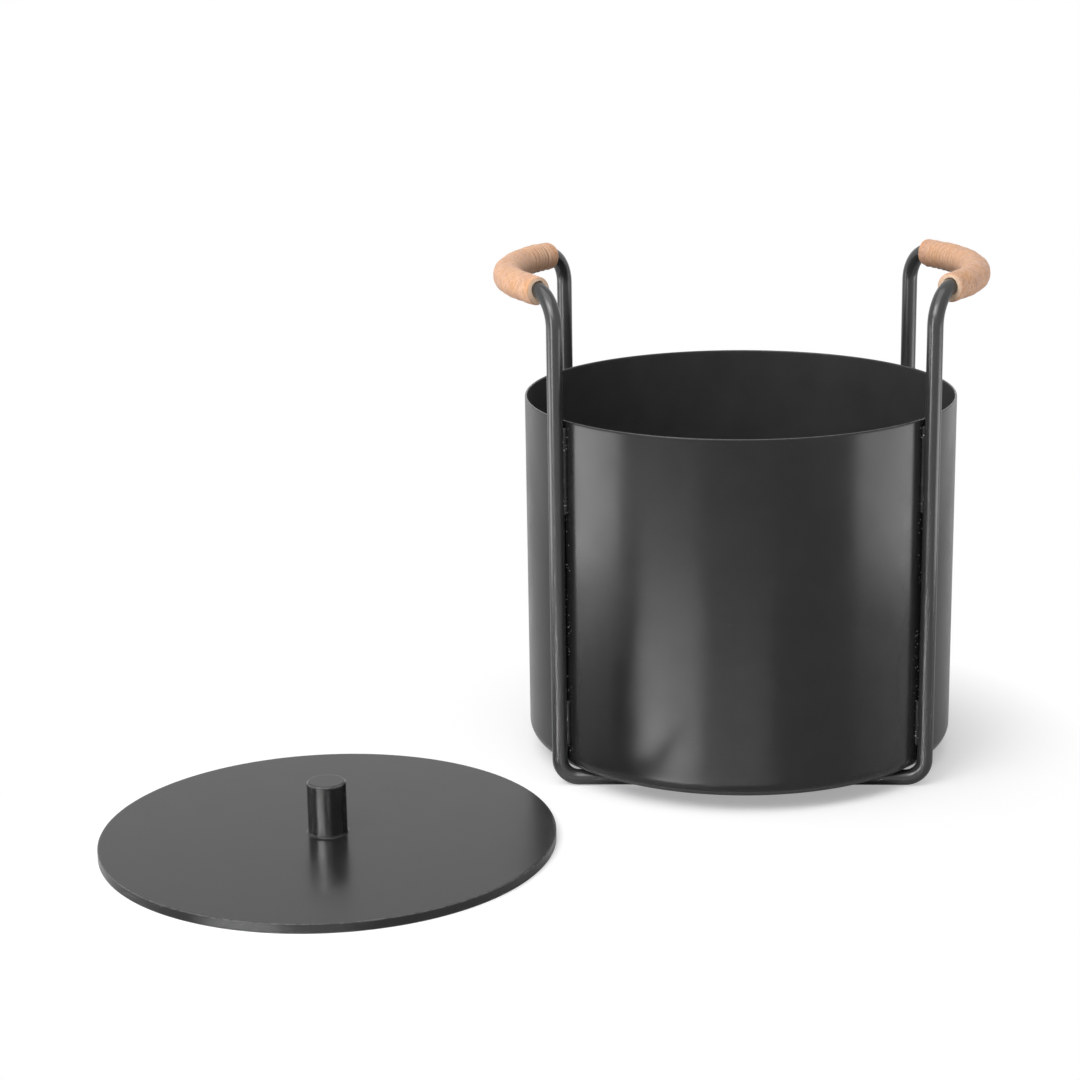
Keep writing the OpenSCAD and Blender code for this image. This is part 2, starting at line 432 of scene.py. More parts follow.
def startAtPoint(point):
    # a plane merged to one vertex, ready to be extruded
    deselectAll()
    bpy.ops.mesh.primitive_plane_add(size=mm, location=point)
    editAll()
    bpy.ops.mesh.merge(type="CENTER")


def startAtRing(centre, radius, sides, rotation):
    # an open ring, radius in millimetres, ready to be extruded or spun
    deselectAll()
    bpy.ops.mesh.primitive_circle_add(
        vertices=sides, radius=radius * mm, fill_type="NOTHING", location=centre, rotation=rotation,
    )
    editAll()


def spinOn(centre, axis, angle, steps):
    # the operator turns clockwise, so the angle goes in with its sign changed
    bpy.ops.mesh.spin(steps=steps, angle=-angle, center=centre, axis=axis, use_auto_merge=False)


def cleanMesh(gap=joinGap):
    bpy.ops.mesh.select_all(action="SELECT")
    bpy.ops.mesh.remove_doubles(threshold=gap)
    bpy.ops.mesh.normals_make_consistent(inside=False)
    bpy.ops.object.mode_set(mode="OBJECT")


def settle(name, angle=35):
    # the piece's place goes into its mesh, and its shading is smooth up to the given angle
    piece = bpy.context.object
    piece.name = piece.data.name = name
    bpy.ops.object.transform_apply(location=True, rotation=True, scale=True)
    bpy.ops.object.shade_smooth_by_angle(angle=radians(angle))
    return piece


def turnedPiece(name, axis, outline, steps, closed=True, angle=35):
    # an outline of (radius, height) in millimetres, spun round an upright axis
    points = [axis + Vector((r * mm, 0, z * mm)) for r, z in outline]
    startAtPoint(points[0])
    for here, there in zip(points, points[1:] + ([points[0]] if closed else [])):
        bpy.ops.mesh.extrude_vertices_move(TRANSFORM_OT_translate={"value": there - here})
    bpy.ops.mesh.select_all(action="SELECT")
    bpy.ops.mesh.remove_doubles(threshold=joinGap)
    bpy.ops.mesh.select_all(action="SELECT")
    bpy.ops.mesh.spin(steps=steps, angle=2 * pi, center=axis, axis=(0, 0, 1))
    cleanMesh()
    return settle(name, angle)


def transformMesh(mesh, matrix):
    mesh.transform(matrix)
    if matrix.determinant() < 0:
        mesh.flip_normals()


def copyPiece(piece, name, matrix):
    # a copy with its own mesh, mirrored or turned
    copy = piece.copy()
    copy.data = piece.data.copy()
    copy.name = copy.data.name = name
    bpy.context.scene.collection.objects.link(copy)
    transformMesh(copy.data, matrix)
    return copy


def dress(piece, material):
    piece.data.materials.clear()
    piece.data.materials.append(material)


def dressInside(piece, axis, radius, floor):
    # the faces that look into the bucket get the lighter, rougher inside coat: painted light inside the
    # bucket
    dress(piece, wallCoat)
    piece.data.materials.append(insideLitCoat)
    for face in piece.data.polygons:
        out = Vector((face.center.x - axis.x, face.center.y - axis.y, 0))
        if out.length < radius and (face.normal.dot(out) < 0 or face.center.z > floor):
            face.material_index = 1


def paintEdgeHighlight(piece, axis, edges, width):
    # the painted edge highlight: 1 on an edge ring, given by its radius and height in millimetres, and 0 a
    # little away
    edgeHighlight = piece.data.attributes.new("edgeHighlight", "FLOAT", "POINT")
    for vertex in piece.data.vertices:
        place = vertex.co - axis
        radius = sqrt(place.x ** 2 + place.y ** 2)
        near = min(sqrt((radius - r * mm) ** 2 + (place.z - z * mm) ** 2) for r, z in edges)
        edgeHighlight.data[vertex.index].value = max(0, 1 - near / (width * mm))


def hand(piece, body, node):
    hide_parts(node)
    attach(piece, body)


def aboutAxis(at, matrix):
    return Matrix.Translation(at) @ matrix @ Matrix.Translation(-at)


mirrorX = aboutAxis(bucketAt, Matrix.Scale(-1, 4, (1, 0, 0)))
mirrorY = aboutAxis(bucketAt, Matrix.Scale(-1, 4, (0, 1, 0)))

# bucket

bucketSizes = {
    "outside": 140,
    "sheet": 1.5,
    "rim": 240,
    "rimSteps": 8,
    # width of the painted highlight along the rim
    "rimHighlight": 0.8,
    "joint": 27,            # where the base's upstand meets the wall
    "underside": 10,
    "edgeRadius": 9,
    "edgeSteps": 12,
    "ring": 1,              # plain rings this far from a rounding hold its shading
    "insideMargin": 0.2,    # faces up to this far behind the inner face count as inside
    "steps": 320,
}


def makeWall(sizes):
    outside, inside = sizes["outside"], sizes["outside"] - sizes["sheet"]
    middle, half = outside - sizes["sheet"] / 2, sizes["sheet"] / 2
    top = sizes["rim"] - half
    outline = [(outside, sizes["joint"]), (outside, top - sizes["ring"])]
    outline += arc((middle, top), half, 0, 180, sizes["rimSteps"])
    outline += [(inside, top - sizes["ring"]), (inside, sizes["joint"])]
    wall = turnedPiece("bucketWall", bucketAt, outline, sizes["steps"])
    dressInside(wall, bucketAt, (inside + sizes["insideMargin"]) * mm, 0)
    paintEdgeHighlight(wall, bucketAt, [(middle, sizes["rim"])], sizes["rimHighlight"])
    hand(wall, "bucket", "bucket_wall")


def makeBase(sizes):
    outside, inside = sizes["outside"], sizes["outside"] - sizes["sheet"]
    edge, floor, ring = sizes["edgeRadius"], sizes["underside"], sizes["ring"]
    bend = (outside - edge, floor + edge)
    outline = [(0, floor), (bend[0] - ring, floor)]
    outline += arc(bend, edge, -90, 0, sizes["edgeSteps"])
    outline += [(outside, floor + edge + ring), (outside, sizes["joint"]), (inside, sizes["joint"])]
    outline += [(inside, floor + edge + ring)]
    outline += arc(bend, edge - sizes["sheet"], 0, -90, sizes["edgeSteps"])
    outline += [(bend[0] - ring, floor + sizes["sheet"]), (0, floor + sizes["sheet"])]
    base = turnedPiece("bucketBase", bucketAt, outline, sizes["steps"], closed=False)
    midSheet = (floor + sizes["sheet"] / 2) * mm
    dressInside(base, bucketAt, (inside + sizes["insideMargin"]) * mm, midSheet)
    hand(base, "bucket", "bucket_base")


makeWall(bucketSizes)
makeBase(bucketSizes)
print("bucket made")

# rod frame

rodSizes = {
    "radius": 5,
    "uprightX": 116.743,    # the upright's middle, from the bucket's axis
    "uprightY": 86,
    "footBend": 12,
    "footSteps": 14,
    "handleHeight": 320,
    "handleBend": 22,
    "bendSteps": 22,
    "handleOut": 0.5376,    # sine of the handle's angle
    "handleStraight": 6,
    "handleSteps": 30,
    "groove": 1.5,
    "sides": 40,
    "gap": 0.000005,        # metres, for joining the points of its tight bends
}
handleTurn = atan2(rodSizes["handleOut"], sqrt(1 - rodSizes["handleOut"] ** 2))
handleReach = rodSizes["handleBend"] + rodSizes["handleStraight"]
handleCurve = (rodSizes["uprightY"] - handleReach * cos(handleTurn)) / sin(handleTurn)
handleX = (
    rodSizes["uprightX"] + handleReach * sin(handleTurn) + handleCurve * (1 - cos(handleTurn))
)


def makeQuarterRod(sizes):
    # front right quarter: a ring pushed along the foot bar and spun round each bend
    r, x, y = sizes["radius"], sizes["uprightX"], -sizes["uprightY"]
    foot, bend, top = sizes["footBend"], sizes["handleBend"], sizes["handleHeight"]
    groove = sizes["groove"]
    heading = Vector((sin(handleTurn), cos(handleTurn), 0))

    def at(px, py, pz):
        return bucketAt + Vector((px, py, pz)) * mm

    def push(length, direction):
        bpy.ops.mesh.extrude_edges_move(TRANSFORM_OT_translate={"value": Vector(direction) * length * mm})

    startAtRing(at(0, y, r), r - groove, sizes["sides"], (0, pi / 2, 0))
    push(groove, (1, 0, 0))
    wider = r / (r - groove)
    bpy.ops.transform.resize(value=(1, wider, wider), center_override=at(groove, y, r))
    push(x - foot - groove, (1, 0, 0))
    spinOn(at(x - foot, y, r + foot), (0, -1, 0), pi / 2, sizes["footSteps"])
    push(top - bend - r - foot, (0, 0, 1))
    # over at the top, towards the back and outwards
    side = Vector((-heading.y, heading.x, 0))
    spinOn(at(x, y, top - bend) + heading * bend * mm, side, pi / 2, sizes["bendSteps"])
    push(sizes["handleStraight"], heading)
    curveAt = at(handleX - handleCurve, 0, top)
    last = groove / handleCurve
    spinOn(curveAt, (0, 0, 1), handleTurn - last, sizes["handleSteps"])
    # the last ring narrows into the weld's groove, as the first does
    spinOn(curveAt, (0, 0, 1), last, 1)
    bpy.ops.transform.resize(value=(1 / wider, 1, 1 / wider), center_override=at(handleX, 0, top))


def makeRods(sizes):
    makeQuarterRod(sizes)
    bpy.ops.mesh.select_all(action="SELECT")
    bpy.ops.mesh.fill_holes(sides=0)
    cleanMesh(sizes["gap"])
    rod = settle("frontRightRod", 40)
    dress(rod, rodCoat)
    others = (
        ("frontLeftRod", "front_left_rod", mirrorX),
        ("backRightRod", "back_right_rod", mirrorY),
        ("backLeftRod", "back_left_rod", mirrorX @ mirrorY),
    )
    for name, node, matrix in others:
        hand(copyPiece(rod, name, matrix), "bucket", node)
    hand(rod, "bucket", "front_right_rod")


makeRods(rodSizes)
print("rods made")

# lid

lidSizes = {
    "radius": 139.5,
    "thickness": 6,
    "edge": 0.5,            # rounding of the plate's edges
    "edgeSteps": 5,
    "faceRing": 1,          # plain rings beside a rounding, on the faces and on the side
    "sideRing": 0.4,
    # width of the painted highlight along the plate's edges
    "edgeHighlight": 0.5,
    "steps": 320,
    "screwRadius": 3,
    "screwReach": 14,
    "headRadius": 6,
    "headInset": 0.3,
    "knobRadius": 12,
    "knobHeight": 33,
    "knobEdge": 1,          # chamfer round the top
    "knobSoft": 0.25,       # its two corners are softened over this length
    "knobEase": 0.08,       # and by this depth
    "knobFoot": 1.5,
    "knobFootSteps": 6,
    "knobRing": 0.6,
    # width of the painted highlight along the knob's top edge
    "knobHighlight": 0.7,
    "knobSteps": 128,
}


def makePlate(sizes):
    r, t, e = sizes["radius"], sizes["thickness"], sizes["edge"]
    hole, head, inset = sizes["screwRadius"], sizes["headRadius"], sizes["headInset"]
    face, side, steps = sizes["faceRing"], sizes["sideRing"], sizes["edgeSteps"]
    outline = [(hole, t), (hole, inset + head - hole), (head, inset), (head, 0), (head + face, 0)]
    outline += [(r - e - face, 0)]
    outline += arc((r - e, e), e, -90, 0, steps)
    outline += [(r, e + side), (r, t - e - side)]
    outline += arc((r - e, t - e), e, 0, 90, steps)
    outline += [(r - e - face, t)]
    plate = turnedPiece("lidPlate", lidAt, outline, sizes["steps"])
    dress(plate, coat)
    corner = e * 0.3        # the middle of a rounding, in from the corner both ways
    paintEdgeHighlight(plate, lidAt, [(r - corner, t - corner), (r - corner, corner)], sizes["edgeHighlight"])
    hand(plate, "lid", "lid_plate")


def makeKnob(sizes):
    r, low = sizes["knobRadius"], sizes["thickness"]
    high, edge, foot = low + sizes["knobHeight"], sizes["knobEdge"], sizes["knobFoot"]
    hole, reach = sizes["screwRadius"], low + sizes["screwReach"]
    soft, ease, ring = sizes["knobSoft"], sizes["knobEase"], sizes["knobRing"]
    outline = [(0, reach), (hole, reach), (hole, low), (r + foot, low)]
    outline += arc((r + foot, low + foot), foot, 270, 180, sizes["knobFootSteps"])[1:]
    outline += [(r, low + foot + ring), (r, high - edge - soft - ring)]
    outline += [(r, high - edge - soft), (r - ease, high - edge), (r - edge / 2, high - edge / 2)]
    outline += [(r - edge, high - ease), (r - edge - soft, high), (r - edge - soft - ring, high)]
    outline += [(0, high)]
    knob = turnedPiece("lidKnob", lidAt, outline, sizes["knobSteps"], closed=False, angle=40)
    dress(knob, coat)
    paintEdgeHighlight(knob, lidAt, [(r - edge / 2, high - edge / 2)], sizes["knobHighlight"])
    hand(knob, "lid", "lid_knob")


makePlate(lidSizes)
makeKnob(lidSizes)
print("lid made")

# welds

weldSizes = {
    "radius": 1.5,
    "sideways": 3.7,        # middle of a bead, from the line where the rod touches the wall
    "outward": 0.85,
    "ripple": 2.4,          # length of one ripple
    "swell": 0.12,          # how far a ripple stands out, as a share of the radius
    "swellShape": 0.7,      # below 1 is rounder
    "swellDraw": (0.4, 1.6),
    "endStart": 0.3,        # how blunt a bead's ends are, and how long
    "endLength": 2.2,
    "step": 0.6,
    "sides": 12,
    "topFrom": 180,
    "topLength": 56,
    "lowLength": 30,
    "footAt": 60,
    "footLength": 24,
    "seamRadius": 1.2,
    "seamIn": 0.1,          # the inside seams' middle, inwards of the wall's inner face
    "seamRings": 4,         # in each ripple of the base's seam
    "rimGap": 4,
    "seeds": {"upright": 5, "foot": 11, "wallSeam": 17, "baseSeam": 23},
}


def rippleAt(place, height, sizes):
    # a bead's width at one place along it, as a share of its radius
    return 1 + sizes["swell"] * height * abs(sin(pi * place / sizes["ripple"])) ** sizes["swellShape"]


def layBead(start, along, length, radius, sizes, draw):
    # pushed out ring by ring from a filled circle, drawn in at both ends
    step = sizes["step"]
    turn = along.to_track_quat("Z", "Y").to_euler()
    last = height = 1.0
    for i in range(round(length / step) + 1):
        place = i * step
        if place % sizes["ripple"] < step:
            height = draw.uniform(*sizes["swellDraw"])
        toEnd = min(1, (min(place, length - place) + sizes["endStart"]) / sizes["endLength"])
        wide = radius * rippleAt(place, height, sizes) * sqrt(1 - (1 - toEnd) ** 2)
        if i == 0:
            bpy.ops.mesh.primitive_circle_add(
                vertices=sizes["sides"], radius=wide * mm, fill_type="NGON", location=start, rotation=turn,
            )
            if bpy.context.object.mode != "EDIT":
                editAll()
        else:
            bpy.ops.mesh.extrude_region_move(TRANSFORM_OT_translate={"value": along * step * mm})
            share = wide / last
            bpy.ops.transform.resize(value=(share,) * 3, center_override=start + along * place * mm)
        last = wide


def layUprightBeads(sizes):
    # both sides of the front right upright, below the rim and above the base
    turn = atan2(rodSizes["uprightY"], rodSizes["uprightX"])
    outward, across = Vector((cos(turn), -sin(turn), 0)), Vector((sin(turn), cos(turn), 0))
    beads = ((sizes["topFrom"], sizes["topLength"]), (bucketSizes["joint"], sizes["lowLength"]))
    draw = random.Random(sizes["seeds"]["upright"])
    deselectAll()
    for side in (-1, 1):
        foot = outward * (bucketSizes["outside"] + sizes["outward"]) + across * side * sizes["sideways"]
        for low, length in beads:
            start = bucketAt + (foot + Vector((0, 0, low))) * mm
            layBead(start, Vector((0, 0, 1)), length, sizes["radius"], sizes, draw)
    cleanMesh()
    return settle("frontRightWelds", 60)


def layFootBeads(sizes):
    draw = random.Random(sizes["seeds"]["foot"])
    deselectAll()
    for x in (-sizes["footAt"], sizes["footAt"]):
        for side in (-1, 1):
            start = bucketAt + Vector((
                x - sizes["footLength"] / 2,
                -rodSizes["uprightY"] + side * sizes["sideways"],
                2 * rodSizes["radius"] - sizes["outward"],
            )) * mm
            layBead(start, Vector((1, 0, 0)), sizes["footLength"], sizes["radius"], sizes, draw)
    cleanMesh()
    return settle("frontFootWelds", 60)


def layWallSeam(sizes):
    # inside the bucket along the wall's own joint, behind the front right upright
    turn = atan2(rodSizes["uprightY"], rodSizes["uprightX"])
    inside = bucketSizes["outside"] - bucketSizes["sheet"] - sizes["seamIn"]
    low = bucketSizes["joint"] + sizes["seamRadius"]
    length = bucketSizes["rim"] - sizes["rimGap"] - low
    start = bucketAt + Vector((cos(turn) * inside, -sin(turn) * inside, low)) * mm
    draw = random.Random(sizes["seeds"]["wallSeam"])
    deselectAll()
    layBead(start, Vector((0, 0, 1)), length, sizes["seamRadius"], sizes, draw)
    cleanMesh()
    return settle("wallSeamWeld", 60)


def layBaseSeam(sizes):
    # round the joint of wall and base: a small ring spun round, its ripples drawn out afterwards
    inside = bucketSizes["outside"] - bucketSizes["sheet"] - sizes["seamIn"]
    ripples = round(2 * pi * inside / sizes["ripple"])
    middle = bucketAt + Vector((0, 0, bucketSizes["joint"])) * mm
    start = middle + Vector((inside * mm, 0, 0))
    startAtRing(start, sizes["seamRadius"], sizes["sides"], (pi / 2, 0, 0))
    spinOn(middle, (0, 0, 1), 2 * pi, sizes["seamRings"] * ripples)
    cleanMesh()
    seam = settle("baseSeamWeld", 60)
    draw = random.Random(sizes["seeds"]["baseSeam"])
    heights = [draw.uniform(*sizes["swellDraw"]) for _ in range(ripples)]
    for vertex in seam.data.vertices:
        turn = atan2(vertex.co.y - middle.y, vertex.co.x - middle.x) % (2 * pi)
        place = turn / (2 * pi) * ripples
        ring = middle + Vector((cos(turn), sin(turn), 0)) * inside * mm
        share = rippleAt(place * sizes["ripple"], heights[int(place) % ripples], sizes)
        vertex.co = ring + (vertex.co - ring) * share
    return seam


def makeWelds(sizes):
    beads = layUprightBeads(sizes)
    footBeads = layFootBeads(sizes)
    pieces = [
        (beads, "front_right_welds"),
        (copyPiece(beads, "frontLeftWelds", mirrorX), "front_left_welds"),
        (copyPiece(beads, "backRightWelds", mirrorY), "back_right_welds"),
        (copyPiece(beads, "backLeftWelds", mirrorX @ mirrorY), "back_left_welds"),
        (footBeads, "front_foot_welds"),
        (copyPiece(footBeads, "backFootWelds", mirrorY), "back_foot_welds"),
        (layWallSeam(sizes), "wall_seam_weld"),
        (layBaseSeam(sizes), "base_seam_weld"),
    ]
    for piece, node in pieces:
        dress(piece, weldCoat)
        hand(piece, "bucket", node)


makeWelds(weldSizes)
print("welds laid")

# leather sleeves

sleeveSizes = {
    "radius": 9,
    "leather": 3,
    "drop": 1,              # the sleeve hangs on top of the rod
    "overrun": 3,
    "steps": 400,           # along the sleeve
    "sides": 84,
    "hole": 5.5,
    "holeUp": 0.7,          # the hole's middle above the sleeve's own
    "holeDark": (0.5, 6, 5),    # painted shade inside the hole: how dark, how far in, over what length
    "swell": (0.24, 0.17, 0.05),    # the hide's slow unevenness: height, along, twist
    "ripple": (0.10, 0.55),
    "seamTurn": 12,         # the seam lies this far inwards of the underside, in degrees
    "seamGrooves": ((0.55, 0.5), (0.30, 2.2)),      # depth and width, drawn in by the stitches
    "seamDark": (0.9, 0.35),
    "seamReach": 1,
    "cutRadius": 1.3,       # rounding of the cut ends
    "cutDepth": 0.7,        # as a share of that
    "unevenCut": 0.5,
    "unevenSecond": 0.4,    # a smaller, quicker wave in it
    "unevenReach": 3,
    "undersideShadeTurn": 25,      # degrees from the underside, where the painted shade is darkest
    "undersideShadeFade": 1.5,
}
# where the leather is creased: from and to along the sleeve, their spacing, how deep
creaseGroups = {
    "leftSleeve": [(39, 68, 2.9, 0.36), (-62, -26, 3.3, 0.17), (-22, 38, 6, 0.06)],
    "rightSleeve": [(30, 66, 5, 0.14), (-62, -34, 3.4, 0.16), (-30, 26, 7, 0.07)],
}
creaseDraws = {
    "at": (0.2, 0.8),       # in parts of the spacing
    "side": (100, 200),     # degrees: the top and the side towards the bucket
    "spread": (1.0, 2.1),   # radians round the sleeve
    "depth": (0.5, 1.2),
    "width": (0.40, 0.70),
    "slant": (-1.5, 1.5),
}
creaseShape = {
    "reach": 4,             # in crease widths
    "ridgeAt": 2.1,
    "ridgeHeight": 0.55,    # as a share of the depth
    "fullDepth": 0.25,      # from this depth on a crease's painted shade is full
    "leastDark": 0.15,
}
sleeveTurn = handleTurn + (rodSizes["handleStraight"] + sleeveSizes["overrun"]) / handleCurve
sleeveHalf = sleeveTurn * handleCurve
sleeveCentre = bucketAt + Vector((
    handleX - handleCurve, 0, rodSizes["handleHeight"] - sleeveSizes["drop"],
)) * mm


def bell(distance, width):
    return exp(-(distance / width) ** 2)


def betweenAngles(first, second):
    return abs((first - second + pi) % (2 * pi) - pi)


def tubeOfLeather(sizes):
    # a ring spun along the handle's long curve, given its thickness inwards
    start = sleeveCentre + Vector((cos(-sleeveTurn), sin(-sleeveTurn), 0)) * handleCurve * mm
    startAtRing(start, sizes["radius"], sizes["sides"], (pi / 2, 0, -sleeveTurn))
    spinOn(sleeveCentre, (0, 0, 1), 2 * sleeveTurn, sizes["steps"])
    cleanMesh()
    tube = bpy.context.object
    bpy.ops.object.transform_apply(location=True, rotation=True, scale=True)
    dress(tube, leather)
    tube.data.materials.append(cutLeather)
    wall = tube.modifiers.new("thickness", "SOLIDIFY")
    wall.thickness = sizes["leather"] * mm
    wall.offset = -1
    wall.material_offset = wall.material_offset_rim = 1
    bpy.ops.object.modifier_apply(modifier=wall.name)
    return tube


def drawCreases(groups, draws, draw):
    creases = []
    for start, end, spacing, depth in groups:
        for i in range(round((end - start) / spacing)):
            creases.append({
                "at": start + (i + draw.uniform(*draws["at"])) * spacing,
                "side": radians(draw.uniform(*draws["side"])),
                "spread": draw.uniform(*draws["spread"]),
                "depth": depth * draw.uniform(*draws["depth"]),
                "width": draw.uniform(*draws["width"]),
                "slant": draw.uniform(*draws["slant"]),
            })
    return creases


def creaseHere(along, turn, creases, shape):
    # how far the leather moves in or out at this place, and its painted light:
    # 1 for painted shade in the bottom of a deep crease, below 0 for a painted highlight on the ridges
    # beside it
    lift = dark = pale = 0.0
    for crease in creases:
        away = betweenAngles(turn, crease["side"])
        gap = along - crease["at"] - crease["slant"] * sin(away)
        if away < crease["spread"] and abs(gap) < shape["reach"] * crease["width"]:
            fade = cos(away / crease["spread"] * pi / 2)
            deep = min(1, crease["depth"] / shape["fullDepth"])
            dip = bell(gap, crease["width"])
            ridge = bell(abs(gap) - shape["ridgeAt"] * crease["width"], crease["width"])
            lift += crease["depth"] * fade * (shape["ridgeHeight"] * ridge - dip)
            dark = max(dark, fade * dip * deep)
            pale = max(pale, fade * ridge * deep)
    return lift, dark if dark > shape["leastDark"] else dark - pale


def outerLeather(along, turn, toEnd, creases, sizes, seed):
    # how far the outer face moves in or out, and its painted shade and highlight
    lift, shade = creaseHere(along, turn, creases, creaseShape)
    swell, swellAlong, swellTwist = sizes["swell"]
    ripple, rippleAlong = sizes["ripple"]
    lift += swell * sin(along * swellAlong + seed) * sin(turn + along * swellTwist)
    lift += ripple * sin(along * rippleAlong + 2 * seed + 2 * turn)
    # the butt seam
    fromSeam = betweenAngles(turn, radians(-90 - sizes["seamTurn"])) * sizes["radius"]
    lift -= sum(depth * bell(fromSeam, width) for depth, width in sizes["seamGrooves"])
    if fromSeam < sizes["seamReach"]:
        seamDark, seamWidth = sizes["seamDark"]
        shade = max(shade, seamDark * bell(fromSeam, seamWidth))
    if toEnd < sizes["cutRadius"]:
        short = min(1, 1 - toEnd / sizes["cutRadius"])
        lift -= sizes["cutRadius"] * (1 - sqrt(1 - short ** 2)) * sizes["cutDepth"]
    return lift, shade


def makeSleeve(name, node, sizes, matrix, seed):
    sleeve = tubeOfLeather(sizes)
    creases = drawCreases(creaseGroups[name], creaseDraws, random.Random(seed))
    mesh = sleeve.data
    paintedShadeAndHighlight = mesh.attributes.new("crease", "FLOAT", "POINT")
    undersideShadeLayer = mesh.attributes.new("undersideShade", "FLOAT", "POINT")
    sleevePlace = mesh.attributes.new("sleevePlace", "FLOAT_VECTOR", "POINT")
    holeDark, holeDarkAt, holeDarkOver = sizes["holeDark"]
    for vertex in mesh.vertices:
        fromCentre = vertex.co - sleeveCentre
        sideways = Vector((fromCentre.x, fromCentre.y, 0)).normalized()
        forward = Vector((-sideways.y, sideways.x, 0))
        along = atan2(fromCentre.y, fromCentre.x) * handleCurve
        out = fromCentre - sideways * handleCurve * mm
        turn = atan2(out.z, out.dot(sideways))       # 0 faces outwards, 90 degrees is the top
        toEnd = sleeveHalf - abs(along)
        if out.length > (sizes["radius"] - sizes["leather"] / 2) * mm:
            lift, shade = outerLeather(along, turn, toEnd, creases, sizes, seed)
        else:
            # the hole lies close round the rod, a little loose below it, with painted shade a little way
            # in
            lift, shade = 0.0, holeDark * bell(toEnd - holeDarkAt, holeDarkOver)
            vertex.co += out.normalized() * (sizes["hole"] * mm - out.length)
            vertex.co.z += sizes["holeUp"] * mm
        wave = sin(turn + seed) + sizes["unevenSecond"] * sin(3 * turn + 2 * seed)
        cut = sizes["unevenCut"] * wave * bell(toEnd, sizes["unevenReach"])
        vertex.co += (out.normalized() * lift - forward * cut) * mm
        # painted shade on the underside, darkest a little inwards of it
        undersideShade = max(0, -sin(turn + radians(sizes["undersideShadeTurn"]))) ** sizes["undersideShadeFade"]
        paintedShadeAndHighlight.data[vertex.index].value = max(-1, min(1, shade))
        undersideShadeLayer.data[vertex.index].value = undersideShade
        sleevePlace.data[vertex.index].vector = (along * mm, out.dot(sideways), out.z)
    transformMesh(mesh, matrix)
    settle(name, 60)
    hand(sleeve, "bucket", node)


makeSleeve("rightSleeve", "right_handle_sleeve", sleeveSizes, Matrix.Identity(4), 3)
makeSleeve("leftSleeve", "left_handle_sleeve", sleeveSizes, mirrorX, 8)
print("sleeves made")

# sewing

stitchSizes = {
    "count": 25,
    "thread": 0.9,
    "plies": 3,
    "plyDepth": 0.10,       # as a share of the thread's radius
    "sides": 12,
    "rings": 16,
    "twist": 300,           # degrees over one stitch
    "reach": 36,            # degrees round the sleeve
    "lean": 20,
    "over": 8.95,           # the thread's middle where it crosses the seam
    "dip": 1.3,             # how far its ends go down into the leather
    "dipShape": 4,          # higher turns down later
    "gap": 0.000001,        # metres, for joining its points
}


def makeOneStitch(sizes):
    # plied thread: a lobed ring twisted up its axis, then laid over the seam
    deselectAll()
    bpy.ops.mesh.primitive_circle_add(
        vertices=sizes["sides"], radius=sizes["thread"] / 2 * mm, fill_type="NOTHING",
    )
    stitch = bpy.context.object
    for vertex in stitch.data.vertices:
        turn = atan2(vertex.co.y, vertex.co.x)
        vertex.co *= 1 - sizes["plyDepth"] + sizes["plyDepth"] * cos(sizes["plies"] * turn)
    length = radians(sizes["reach"]) * sizes["over"]
    twist = stitch.modifiers.new("twist", "SCREW")
    twist.angle = radians(sizes["twist"])
    twist.screw_offset = length * mm
    twist.steps = twist.render_steps = sizes["rings"]
    bpy.ops.object.modifier_apply(modifier=twist.name)
    editAll()
    bpy.ops.mesh.fill_holes(sides=0)
    cleanMesh(sizes["gap"])
    lean = radians(sizes["lean"])
    for vertex in stitch.data.vertices:
        share = vertex.co.z / (length * mm) * 2 - 1
        turn = radians(share * sizes["reach"] / 2)
        middle = sizes["over"] - sizes["dip"] * share ** sizes["dipShape"]
        down = radians(270 - sleeveSizes["seamTurn"]) + turn * cos(lean)
        out = Vector((cos(down), 0, sin(down)))
        sideways = Vector((-sin(down) * sin(lean), cos(lean), cos(down) * sin(lean)))
        place = out * middle * mm - Vector((0, middle * sin(turn) * sin(lean), 0)) * mm
        place += out * vertex.co.x + sideways * vertex.co.y
        vertex.co = sleeveCentre + Vector((handleCurve * mm, 0, 0)) + place
    return stitch


def makeThreads(sizes):
    stitch = makeOneStitch(sizes)
    copies = []
    for i in range(sizes["count"]):
        turn = sleeveTurn * (2 * (i + 0.5) / sizes["count"] - 1)
        turned = aboutAxis(sleeveCentre, Matrix.Rotation(turn, 4, "Z"))
        copies.append(copyPiece(stitch, f"stitch{i}", turned))
    deselectAll()
    for copy in copies:
        copy.select_set(True)
    bpy.context.view_layer.objects.active = copies[0]
    bpy.ops.object.join()
    rightThread = settle("rightThread", 60)
    bpy.data.objects.remove(stitch)
    dress(rightThread, waxedThread)
    leftThread = copyPiece(rightThread, "leftThread", mirrorX)
    hand(rightThread, "bucket", "right_sleeve_thread")
    hand(leftThread, "bucket", "left_sleeve_thread")


makeThreads(stitchSizes)
print("sleeves sewn")

# CAD nodes that stay

stayFinish = {"knob_screw": zinc}
for nodeName, nodeObject in frame["nodes"].items():
    if not nodeObject.hide_render:
        dress(nodeObject, stayFinish.get(nodeName, coat))

# floor and light

